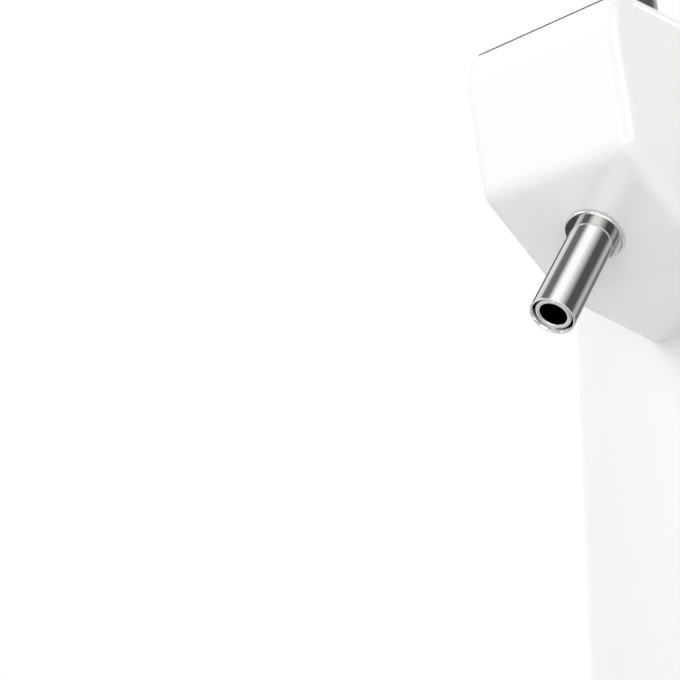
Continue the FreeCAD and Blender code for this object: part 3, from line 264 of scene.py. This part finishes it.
for i in range(0, TICKS, 2):
    number_angle = math.radians(TICK_SWEEP / 2 - i * TICK_SWEEP / (TICKS - 1))
    number_x = -math.sin(number_angle) * NUMBER_RING
    number_y = math.cos(number_angle) * NUMBER_RING
    digit = "%d" % (i // 2 + 1)
    digit_shape = number_mesh(digit, number_x, number_y, NUMBER_HEIGHT, dial_place(PLATE_FRONT),
                              "digit_" + digit)
    add_piece("dial_number_" + digit, digit_shape, "root", ink)
print("last number", digit)

# %% [markdown]
# The spout is the one piece that the camera sees close up, and polish shows every facet. On the real
# object the tube, the liner inside its mouth and the collar are turned on a lathe. So each is spun here
# from half of its section, in steps small enough for reflections to run smoothly, and its rims are
# rounded by a bevel. A loop close to each rounding keeps the shading of the long faces even.

# %% The spout's place and sizes
TILT = math.radians(35)
SPOUT_TURN = Matrix.Rotation(-TILT, 4, "X")
SPOUT_RADIUS = 0.0065
SPIGOT_RADIUS = 0.0060
BORE_RADIUS = 0.0053
MOUTH = -0.0332
BORE_FLARE = 0.0019
SOCKET_TOP = 0.012
SPIN_STEPS = 160
SHARP_ANGLE = math.radians(35)
HELD_LOOP = 0.0009
ON_THE_RIM = 1e-6
print("spout", SPOUT_RADIUS * 2, "across")


# %% A helper for turned pieces
def rim_edges(shape, radius, height):
    """The edges of the ring that a corner of the section leaves."""
    def on_rim(vert):
        off_radius = abs(math.hypot(vert.co.x, vert.co.y) - radius)
        return off_radius < ON_THE_RIM and abs(vert.co.z - height) < ON_THE_RIM

    return [edge for edge in shape.edges if all(on_rim(vert) for vert in edge.verts)]


def turned(name, node, section, roundings):
    """Spins a closed section of (radius, height) corners round the spout's axis, in place of a CAD node."""
    shape = bmesh.new()
    corners = [shape.verts.new((radius, 0, height)) for radius, height in section]
    outline = [shape.edges.new(pair) for pair in zip(corners, corners[1:] + corners[:1])]
    bmesh.ops.spin(shape, geom=corners + outline, cent=(0, 0, 0), axis=(0, 0, 1), angle=math.tau,
                   steps=SPIN_STEPS, use_merge=True)
    bmesh.ops.remove_doubles(shape, verts=shape.verts, dist=SAME_SPOT)
    bmesh.ops.recalc_face_normals(shape, faces=shape.faces)
    for radius, height, size in roundings:
        bmesh.ops.bevel(shape, geom=rim_edges(shape, radius, height), offset=size, offset_type="OFFSET",
                        segments=5, profile=0.5, affect="EDGES", material=-1)
    for face in shape.faces:
        face.smooth = True
    for edge in shape.edges:
        edge.smooth = edge.calc_face_angle(0) < SHARP_ANGLE
    bmesh.ops.transform(shape, matrix=Matrix.Translation(COLLAR) @ SPOUT_TURN, verts=shape.verts)
    print(name, len(shape.faces), "faces")
    piece = add_piece(name, shape, "root", FINISHES["polished_steel"])
    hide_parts(node)


# %% Spout tube
FLARED = SPOUT_RADIUS - 0.0005
turned("turned_tube", "spout_tube", [
    (BORE_RADIUS, SOCKET_TOP), (BORE_RADIUS, MOUTH + BORE_FLARE), (FLARED, MOUTH), (SPOUT_RADIUS, MOUTH),
    (SPOUT_RADIUS, MOUTH + HELD_LOOP), (SPOUT_RADIUS, 0), (SPIGOT_RADIUS, 0), (SPIGOT_RADIUS, SOCKET_TOP),
], [(FLARED, MOUTH, 0.00008), (SPOUT_RADIUS, MOUTH, 0.00025)])

# %% Spout liner
LINER_RADIUS = BORE_RADIUS - 0.00005
LINER_BORE = 0.0039
LINER_MOUTH = MOUTH + 0.0006
turned("turned_liner", "spout_sleeve", [
    (LINER_BORE, SOCKET_TOP), (LINER_BORE, LINER_MOUTH + HELD_LOOP), (LINER_BORE, LINER_MOUTH),
    (LINER_RADIUS, LINER_MOUTH), (LINER_RADIUS, LINER_MOUTH + HELD_LOOP), (LINER_RADIUS, SOCKET_TOP),
], [(LINER_BORE, LINER_MOUTH, 0.0005), (LINER_RADIUS, LINER_MOUTH, 0.0005)])

# %% Spout collar
COLLAR_RADIUS = 0.0087
COLLAR_THICK = 0.0016
turned("turned_collar", "spout_flange", [
    (SPIGOT_RADIUS, 0), (COLLAR_RADIUS - HELD_LOOP, 0), (COLLAR_RADIUS, 0), (COLLAR_RADIUS, COLLAR_THICK),
    (COLLAR_RADIUS - HELD_LOOP, COLLAR_THICK), (SPIGOT_RADIUS, COLLAR_THICK),
], [(COLLAR_RADIUS, 0, 0.0005), (COLLAR_RADIUS, COLLAR_THICK, 0.0003)])

# %% [markdown]
# The studio is a pale floor and backdrop, seen as white. A polished tube mirrors a strip of everything
# beside it, so its light and dark bands come from a card that is made last. What lights the object is
# soft and even.


# %% Floor
FLOOR_HALF = 4
UNDER_THE_FEET = -0.0002


def stage_material(name):
    """Plain pale matt paint."""
    material = bpy.data.materials.new(name)
    material.use_nodes = True
    nodes = material.node_tree.nodes
    nodes["Principled BSDF"].inputs["Base Color"].default_value = (0.86, 0.86, 0.86, 1)
    nodes["Principled BSDF"].inputs["Roughness"].default_value = 0.9
    return material


def stage_plane(name, size, place):
    """Adds a square that belongs to the stage and not to the object."""
    shape = bmesh.new()
    bmesh.ops.create_grid(shape, x_segments=1, y_segments=1, size=size, matrix=place)
    mesh = bpy.data.meshes.new(name)
    shape.to_mesh(mesh)
    shape.free()
    plane = bpy.data.objects.new(name, mesh)
    bpy.context.scene.collection.objects.link(plane)
    return plane


floor = stage_plane("floor", FLOOR_HALF, Matrix.Translation((0, 0, UNDER_THE_FEET)))
floor.data.materials.append(stage_material("floor_paint"))
print("floor", FLOOR_HALF * 2, "metres across")

# %% [markdown]
# The backdrop is the world itself. A strength of 1 shows as white to the camera and in polished metal,
# and a lower one is what reaches the object as light, so a white background adds no glare.

# %% World
world = bpy.data.worlds.new("studio")
bpy.context.scene.world = world
world.use_nodes = True
sky = world.node_tree.nodes
sky_links = world.node_tree.links
rays = sky.new("ShaderNodeLightPath")
shown = sky.new("ShaderNodeMath")
shown.operation = "MAXIMUM"
level = sky.new("ShaderNodeMapRange")
WORLD_LIGHT = 0.45
level.inputs["To Min"].default_value = WORLD_LIGHT
level.inputs["To Max"].default_value = 1.0
sky_links.new(rays.outputs["Is Camera Ray"], shown.inputs[0])
sky_links.new(rays.outputs["Is Glossy Ray"], shown.inputs[1])
sky_links.new(shown.outputs["Value"], level.inputs["Value"])
sky_links.new(level.outputs["Result"], sky["Background"].inputs["Strength"])
sky["Background"].inputs["Color"].default_value = (1, 1, 1, 1)
print("world light", WORLD_LIGHT)

# %% [markdown]
# Four soft panels stand round the object: one high at the front left, one at the right, one behind and a
# low strip in front. Large panels make soft shadows, and pale plastic keeps its shape when none of them
# is strong.


# %% Lamps
def panel_light(name, spot, target, size, power):
    """Adds a rectangular lamp at a spot, turned towards its target."""
    data = bpy.data.lights.new(name, "AREA")
    data.shape = "RECTANGLE"
    data.size, data.size_y = size
    data.energy = power
    lamp = bpy.data.objects.new(name, data)
    bpy.context.scene.collection.objects.link(lamp)
    away = Vector(spot) - Vector(target)
    lamp.matrix_world = Matrix.Translation(spot) @ away.to_track_quat("Z", "Y").to_matrix().to_4x4()
    return lamp


CENTRE = (0, 0, 0.25)
panel_light("key_panel", (-1.0, -1.5, 1.5), CENTRE, (1.2, 1.2), 20)
panel_light("fill_panel", (1.7, -0.8, 0.9), CENTRE, (1.0, 1.4), 10)
panel_light("back_panel", (0.3, 1.7, 1.3), CENTRE, (1.4, 1.0), 12)
panel_light("low_panel", (0.7, -1.5, 0.15), CENTRE, (1.2, 0.25), 5)
print(len(bpy.data.lights), "panels")

# %% [markdown]
# A polished tube mirrors a whole circle of its surroundings, squeezed into a few bands along its length.
# A photographer shapes those bands with cards held close to it. Here one curved card goes round the spout
# and shines more or less by its bearing, and only mirrors see it: not the camera, the plastic's own
# colour or the shadows.

# %% The card's bands
CARD_RADIUS = 0.00875
CARD_TOP = -0.0001
CARD_BOTTOM = -0.033
CARD_STRENGTH = 1.35
FLAG_LIGHT = 0.06
CARD_STARTS = -0.975
CARD_ENDS = 0.998
CARD_STEPS = 96
# Where each band starts and ends across the tube, from -1 at its left edge to 1 at its right, and
# how brightly it shines
BANDS = {
    "pale_edge": (-0.95, -0.86, 0.70),
    "grey_band": (-0.78, -0.60, 0.15),
    "broad_white": (-0.42, -0.20, 1.00),
    "dark_band": (0.20, 0.50, 0.08),
    "thin_line": (0.66, 0.72, 0.45),
    "narrow_dark": (0.82, 0.90, 0.15),
    "far_edge": (0.96, 0.985, 0.50),
}


def bearing_seen(across):
    """The card's bearing, in degrees, that a polished tube mirrors at a place across its width."""
    slope = math.asin(across)
    return math.degrees(2 * slope - math.asin(across * SPOUT_RADIUS / CARD_RADIUS))


def band_steps():
    """The ramp's steps: each band is level, and light runs evenly from one band to the next."""
    steps = [(-180, FLAG_LIGHT), (bearing_seen(CARD_STARTS), FLAG_LIGHT)]
    for start, end, light in BANDS.values():
        steps += [(bearing_seen(start), light), (bearing_seen(end), light)]
    return steps + [(bearing_seen(CARD_ENDS), FLAG_LIGHT), (180, FLAG_LIGHT)]


def card_bearing():
    """The camera's bearing round the spout's own axis."""
    right, up, back = camera_axes()
    seen = SPOUT_TURN.inverted().to_3x3() @ back
    return math.atan2(seen.y, seen.x)


def band_paint():
    """Light that depends on the bearing round the card, through a colour ramp."""
    material = bpy.data.materials.new("card_bands")
    material.use_nodes = True
    nodes = material.node_tree.nodes
    links = material.node_tree.links
    nodes.remove(nodes["Principled BSDF"])
    glow = nodes.new("ShaderNodeEmission")
    glow.inputs["Strength"].default_value = CARD_STRENGTH
    place = nodes.new("ShaderNodeTexCoord")
    turn = nodes.new("ShaderNodeMapping")
    turn.inputs["Rotation"].default_value[2] = -card_bearing()
    circle = nodes.new("ShaderNodeTexGradient")
    circle.gradient_type = "RADIAL"
    ramp = nodes.new("ShaderNodeValToRGB")
    steps = ramp.color_ramp.elements
    steps.remove(steps[1])
    for bearing, light in band_steps():
        position = (bearing + 180) / 360
        step = steps[0] if position == 0 else steps.new(position)
        step.position = position
        step.color = (light, light, light, 1)
    links.new(place.outputs["Object"], turn.inputs["Vector"])
    links.new(turn.outputs["Vector"], circle.inputs["Vector"])
    links.new(circle.outputs["Fac"], ramp.inputs["Fac"])
    links.new(ramp.outputs["Color"], glow.inputs["Color"])
    links.new(glow.outputs["Emission"], nodes["Material Output"].inputs["Surface"])
    return material


# %% The card
card_shape = bmesh.new()
CARD_MIDDLE = Matrix.Translation((0, 0, (CARD_TOP + CARD_BOTTOM) / 2))
bmesh.ops.create_cone(card_shape, cap_ends=False, segments=CARD_STEPS, radius1=CARD_RADIUS,
                      radius2=CARD_RADIUS, depth=CARD_TOP - CARD_BOTTOM, matrix=CARD_MIDDLE)
card_mesh = bpy.data.meshes.new("band_card")
card_shape.to_mesh(card_mesh)
card_shape.free()
card_mesh.materials.append(band_paint())
card = bpy.data.objects.new("band_card", card_mesh)
bpy.context.scene.collection.objects.link(card)
card.matrix_world = Matrix.Translation(COLLAR) @ SPOUT_TURN
card.visible_camera = False
card.visible_diffuse = False
card.visible_shadow = False
card.visible_transmission = False
print("card faces", len(card_mesh.polygons), "bearing", round(math.degrees(card_bearing()), 1))

# %% Finish
bpy.context.scene.view_settings.view_transform = "Standard"
